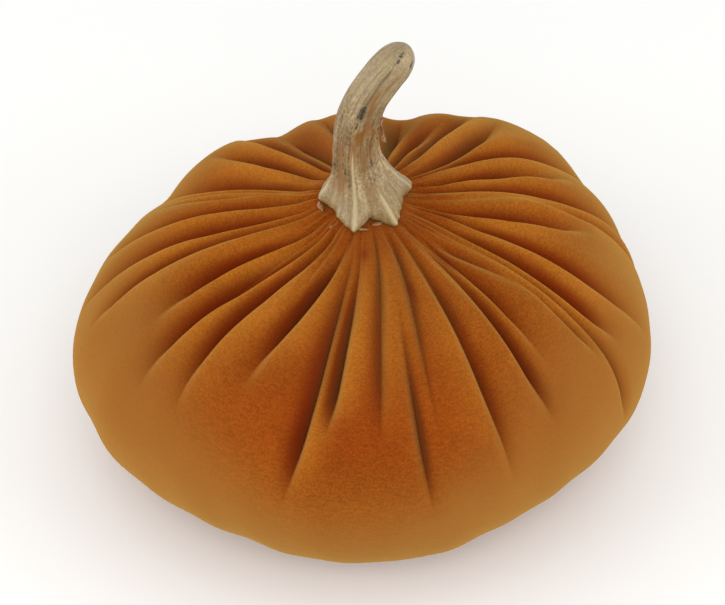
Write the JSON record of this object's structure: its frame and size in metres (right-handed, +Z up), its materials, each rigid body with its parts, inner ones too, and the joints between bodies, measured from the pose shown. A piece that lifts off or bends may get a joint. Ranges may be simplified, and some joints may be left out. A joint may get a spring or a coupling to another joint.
{
  "type": "stuffed velvet pumpkin ornament",
  "caption": "Squat stuffed velvet pumpkin ornament with gathers drawn in at the crown and a dried, curved natural stem glued on top.",
  "frame": {"origin": "middle of the flat spot underneath that it rests on", "axes": "+Z up through the crown, -Y towards the front as pictured, +X to the right"},
  "size_m": [0.2025, 0.1994, 0.1522],
  "materials": {
    "velvet": "short, dense silky pile, dark where it is seen straight on and golden where it is seen aslant",
    "stem": "dried fibrous plant stem under a thin uneven varnish, streaked tan, orange-brown and grey"
  },
  "bodies": {
    "root": {"velvet_body": "velvet", "dried_stem": "stem"}
  },
  "joints": []
}
